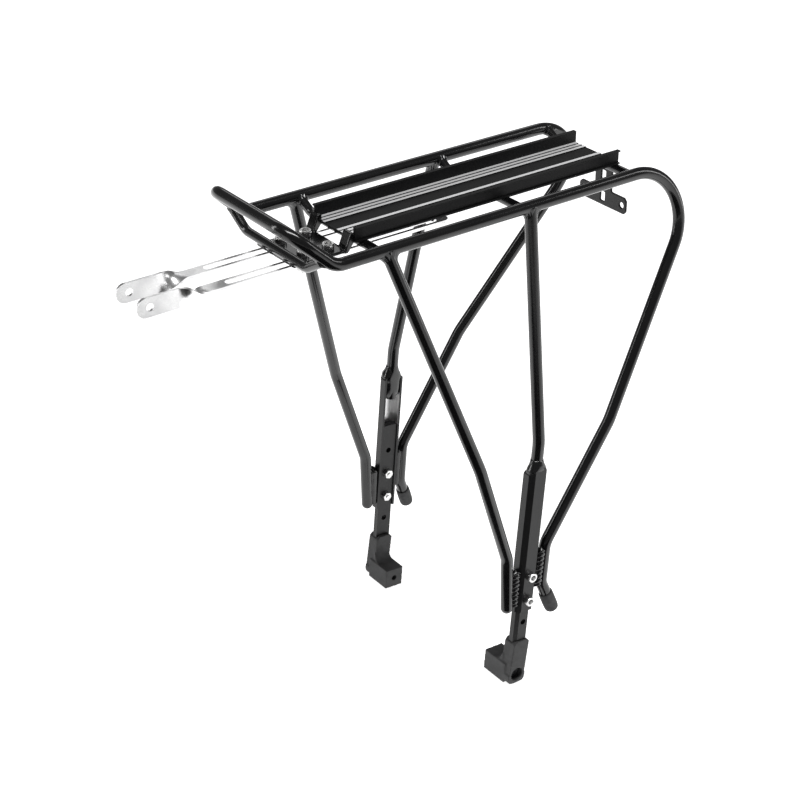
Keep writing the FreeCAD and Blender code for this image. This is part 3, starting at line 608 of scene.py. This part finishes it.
# the rear cross tube meets the rails where they already bend down
for place, x, drop, rail_way in (
    ("front", 105.5 * MM, 0, Vector((1, 0, 0))),
    ("middle", -40.5 * MM, 0, Vector((1, 0, 0))),
    ("rear", -163 * MM, 1.47 * MM, Vector((0.9686, 0, 0.2491))),
):
    joint = Vector((x, RAIL_Y, RAIL_Z))
    weld = saddle_weld(
        "cross_weld_" + place, joint, cross_way, CROSS_RADIUS, 3.2 * MM, 3 * MM,
        rail_point=joint - Vector((0, 0, drop)), rail_way=rail_way, seed=7,
    )
    both_sides("cross_weld_" + place, weld, "weld_paint", "frame", sharp=80)

# the lower bar's ends meet the hoop's leaning sides
bar_end = Vector((171, 63.69, 441.4)) * MM
bar_way = Vector((0, -19.69, -12))
hoop_weld = saddle_weld(
    "lower_bar_weld", bar_end - bar_way.normalized() * 3 * MM, bar_way, CROSS_RADIUS, 3.5 * MM, 3 * MM,
    rail_point=Vector((159.5, 65.5, 436)) * MM, rail_way=Vector((35, -5.5, 32)), seed=9,
)
both_sides("lower_bar_weld", hoop_weld, "weld_paint", "frame", sharp=80)


def rippled_bead(name, foot, head, foot_half, head_half, thick, pitch):
    """A fat weld laid in overlapping crescents, from its foot up to its head."""
    lag = random.Random(name).uniform(0, math.tau)
    length = (head - foot).length
    count = round(length / pitch)
    levels = count * 7
    rings = []
    for level in range(levels + 1):
        share = level / levels
        phase = share * count
        crest = abs(math.sin(math.pi * phase)) ** 0.6
        end = min(1, math.sin(math.pi * min(max(share, 0.004), 0.996)) * 5) ** 0.5
        swell = 1 + 0.07 * math.sin(2.3 * phase + lag)
        wide = (foot_half + (head_half - foot_half) * share) * end * swell
        deep = thick * (0.8 + 0.2 * crest) * end
        middle = foot + (head - foot) * share
        ring = []
        for step in range(28):
            turn = math.tau * step / 28
            across, out = math.cos(turn), math.sin(turn)
            up = 0.45 * pitch * (1 - across**2) * (out > 0)
            depth = deep if out > 0 else 0.8 * thick * end
            ring.append(middle + Vector((across * wide, out * depth, up)))
        rings.append(ring)
    return skin(name, rings)


LEG_Y = channel_high.y - 6 * MM
beads = [
    rippled_bead(
        "front_bead", Vector((12.2 * MM, LEG_Y, 72 * MM)), Vector((14.2 * MM, LEG_Y, 112 * MM)),
        5.4 * MM, 6.6 * MM, 5.9 * MM, 4.7 * MM,
    ),
    rippled_bead(
        "rear_bead", Vector((-13.2 * MM, LEG_Y, 86 * MM)), Vector((-13.4 * MM, LEG_Y, 127 * MM)),
        5 * MM, 5.2 * MM, 5.9 * MM, 4.7 * MM,
    ),
]
bead_mesh = joined("channel_beads", beads)
bead_mesh.transform(LEAN)
both_sides("channel_beads", bead_mesh, "weld_paint", "frame", "channel_welds", sharp=80)


def leg_plug():
    """The lumpy weld that fills the channel's top round the middle leg and laps over its shoulders.

    Each level gives its height, its half length fore and aft, and its inner and outer faces, in millimetres.
    """
    chance = random.Random(11)
    shoulder, crown = 206, 219
    levels = [
        (187, 6.4, 102.5, 110.2), (188.5, 7.6, 101.4, 111), (192, 7.9, 100.6, 111.1), (197, 8, 100.2, 111.1),
        (202, 8, 100.1, 111.1), (205, 8.3, 100, 111.2), (207, 9.6, 99.9, 111.8), (209, 9.4, 99.8, 112.6),
        (211.5, 8.4, 99.8, 113.1), (214, 7.3, 99.8, 113.1), (216, 6.4, 99.9, 112.4), (218, 5.8, 100, 111.5),
        (220, 5.45, 100.15, 111),
    ]
    rings = []
    bumps = [
        (chance.uniform(0, math.tau), chance.uniform(187, crown), chance.uniform(0.12, 0.4)) for _ in range(46)
    ]
    for height, half, inner, outer in levels:
        ring = []
        for step in range(48):
            turn = math.tau * step / 48
            roundness = 2 / (2.8 if height < 212 else 2.2)
            fore = math.copysign(abs(math.cos(turn)) ** roundness, math.cos(turn)) * half
            side = math.copysign(abs(math.sin(turn)) ** roundness, math.sin(turn))
            lump = 0
            if height < crown:
                for bump_turn, bump_height, size in bumps:
                    apart = 6 * (1 - math.cos(turn - bump_turn)) + ((height - bump_height) / 2.4) ** 2
                    lump += size * math.exp(-apart * 2.2)
            away = 1 + 0.75 * lump / 8
            y = (inner + outer) / 2 + side * (outer - inner) / 2 * (away if side < 0 or height > 210 else 1)
            ring.append(Vector((fore * (away if height > shoulder else 1), y, height + 0.3 * lump)) * MM)
        rings.append(ring)
    return skin("leg_plug", rings)


plug = leg_plug()
plug.transform(LEAN)
both_sides("leg_plug", plug, "weld_paint", "frame", sharp=80)


# ---------------------------------------------------------------- cast and pressed pieces
def cast_copy(node, voxel, rounds, extra=None):
    """A node's shape, with an extra mesh grown on, under one skin with melted edges."""
    shape = frame["nodes"][node].data
    shape = joined(node + "_shape", [shape, extra]) if extra else shape.copy()
    copy = bpy.data.objects.new(node + "_melted", shape)
    bpy.context.collection.objects.link(copy)
    remesh = copy.modifiers.new("skin", "REMESH")
    remesh.mode = "VOXEL"
    remesh.voxel_size = voxel
    smooth = copy.modifiers.new("melt", "SMOOTH")
    smooth.factor = 0.5
    smooth.iterations = rounds
    bpy.context.view_layer.update()
    graph = bpy.context.evaluated_depsgraph_get()
    mesh = bpy.data.meshes.new_from_object(copy.evaluated_get(graph))
    bpy.data.objects.remove(copy)
    return mesh


FOOT_PLATE_Y = foot_high.y - 13.5 * MM


def foot_fillet():
    """The concave corner between the left foot's plate and the top of its spacer block."""
    plate_y, top, radius, back = FOOT_PLATE_Y, 10 * MM, 8.5 * MM, 1.5 * MM
    section = [(plate_y + back, top - back), (plate_y + back, top + radius)]
    for step in range(13):
        turn = math.radians(90 * step / 12)
        section.append((plate_y - radius * (1 - math.cos(turn)), top + radius * (1 - math.sin(turn))))
    section.append((plate_y - radius, top - back))
    rings = []
    for x in (-6.6, -6, 10, 10.6):
        rings.append([Vector((x * MM, y, z)) for y, z in section])
    mesh = skin("foot_fillet", rings)
    mesh.transform(LEAN)
    return mesh


def foot_shoe():
    """The squared lower half of the left foot's plate, which runs on into the block."""
    rings = []
    bolt_x, half, hollow, face_y = 2 * MM, 9.75 * MM, 7.2 * MM, foot_high.y - 0.2 * MM
    for step in range(25):
        turn = math.pi * (1 + step / 24)
        fore, up = math.cos(turn), math.sin(turn)
        edge = half / (fore**4 + up**4) ** 0.25
        ring = []
        for reach, side in ((hollow, FOOT_PLATE_Y), (edge, FOOT_PLATE_Y), (edge, face_y), (hollow, face_y)):
            ring.append(Vector((bolt_x + fore * reach, side, up * reach)))
        rings.append(ring)
    mesh = skin("foot_shoe", rings)
    mesh.transform(LEAN)
    return mesh


foot_growth = joined("foot_growth", [foot_fillet(), foot_shoe()])
for side, extra in (("left", foot_growth), ("right", mirrored(foot_growth))):
    casting = cast_copy(side + "_foot", 0.55 * MM, 6, extra=extra)
    piece(side + "_foot_casting", casting, "foot_casting", side + "_foot_leg", side + "_foot", sharp=75)
for name, node, slot, voxel, rounds in (
    ("clamp_plate_bent", "stay_clamp_plate", "clamp_paint", 0.5 * MM, 5),
    ("light_bracket_pressed", "rear_light_bracket", "bracket_paint", 0.45 * MM, 3),
):
    piece(name, cast_copy(node, voxel, rounds), slot, "frame", node, sharp=75)


# ---------------------------------------------------------------- floor, light and camera
FLOOR_Z = foot_low.z
EYE = Vector((0.87069, 1.11709, 1.03169))
EYE_AZIMUTH = math.radians(53.68)
EYE_ELEVATION = math.radians(29.35)


def studio():
    """A plain white floor, and a dim room round it."""
    paper = Finish("white_paper", Specular_IOR_Level=0.1, Emission_Strength=0.9)
    fibre = paper.noise(35, 3)
    paper.set(Base_Color=paper.mix(fibre, (0.93, 0.93, 0.93), (0.95, 0.95, 0.95)))
    paper.set(Emission_Color=paper.mix(fibre, (0.97, 0.97, 0.97), (1.0, 1.0, 1.0)))
    paper.set(Roughness=0.85 + 0.05 * fibre)
    mesh = bpy.data.meshes.new("floor")
    reach = 12
    corners = [(-reach, -reach), (reach, -reach), (reach, reach), (-reach, reach)]
    mesh.from_pydata([(x, y, FLOOR_Z) for x, y in corners], [], [(0, 1, 2, 3)])
    mesh.materials.append(paper.material)
    floor = bpy.data.objects.new("floor", mesh)
    bpy.context.collection.objects.link(floor)
    world = bpy.data.worlds.new("dim_room")
    bpy.context.scene.world = world
    world.use_nodes = True
    world.node_tree.nodes["Background"].inputs["Color"].default_value = (1, 1, 1, 1)
    world.node_tree.nodes["Background"].inputs["Strength"].default_value = 0.16


def flag():
    """A black card on the floor ahead of the rack: it only shows as the dark middle of the gloss."""
    cloth = Finish("black_cloth", Base_Color=(0.0, 0.0, 0.0), Specular_IOR_Level=0.0)
    near, far, half_spread, steps = 0.17, 5, 42, 10
    spread = [EYE_AZIMUTH + math.radians(half_spread * (2 * step / steps - 1)) for step in range(steps + 1)]
    points = [(near * math.cos(turn), near * math.sin(turn), FLOOR_Z + MM) for turn in spread]
    points += [(far * math.cos(turn), far * math.sin(turn), FLOOR_Z + MM) for turn in reversed(spread)]
    mesh = bpy.data.meshes.new("flag")
    mesh.from_pydata(points, [], [tuple(range(len(points)))])
    mesh.materials.append(cloth.material)
    card = bpy.data.objects.new("flag", mesh)
    card.visible_camera = False
    card.visible_diffuse = False
    card.visible_shadow = False
    bpy.context.collection.objects.link(card)


def soft_light(name, place, target, width, height, power):
    """A soft box that faces a target: its size in metres and its power in watts."""
    data = bpy.data.lights.new(name, "AREA")
    data.shape = "RECTANGLE"
    data.size = width
    data.size_y = height
    data.energy = power
    light = bpy.data.objects.new(name, data)
    light.location = place
    light.rotation_euler = (Vector(target) - Vector(place)).to_track_quat("-Z", "Y").to_euler()
    bpy.context.collection.objects.link(light)


def camera():
    """The eye stands ahead of the rack, on its left, and looks down on it."""
    level = math.cos(EYE_ELEVATION)
    back = Vector((level * math.cos(EYE_AZIMUTH), level * math.sin(EYE_AZIMUTH), math.sin(EYE_ELEVATION)))
    data = bpy.data.cameras.new("eye")
    data.sensor_width = 36
    data.lens = 82.02
    eye = bpy.data.objects.new("eye", data)
    eye.location = EYE
    eye.rotation_euler = back.to_track_quat("Z", "Y").to_euler()
    bpy.context.collection.objects.link(eye)
    bpy.context.scene.camera = eye


studio()
flag()
middle = (0, 0, RAIL_Z * 0.6)
soft_light("back_box", (-1.25, -1.8, 1.75), (0.05, 0, RAIL_Z), 1.3, 0.6, 3.6)
soft_light("top_strip", (0.1, 0.45, 2.3), middle, 1.6, 0.3, 30)
soft_light("left_strip", (1.5, -1.1, 1.0), middle, 0.25, 1.6, 9)
soft_light("right_strip", (-1.5, 0.9, 0.9), middle, 0.2, 1.6, 7)
camera()
bpy.context.scene.view_settings.view_transform = "Standard"
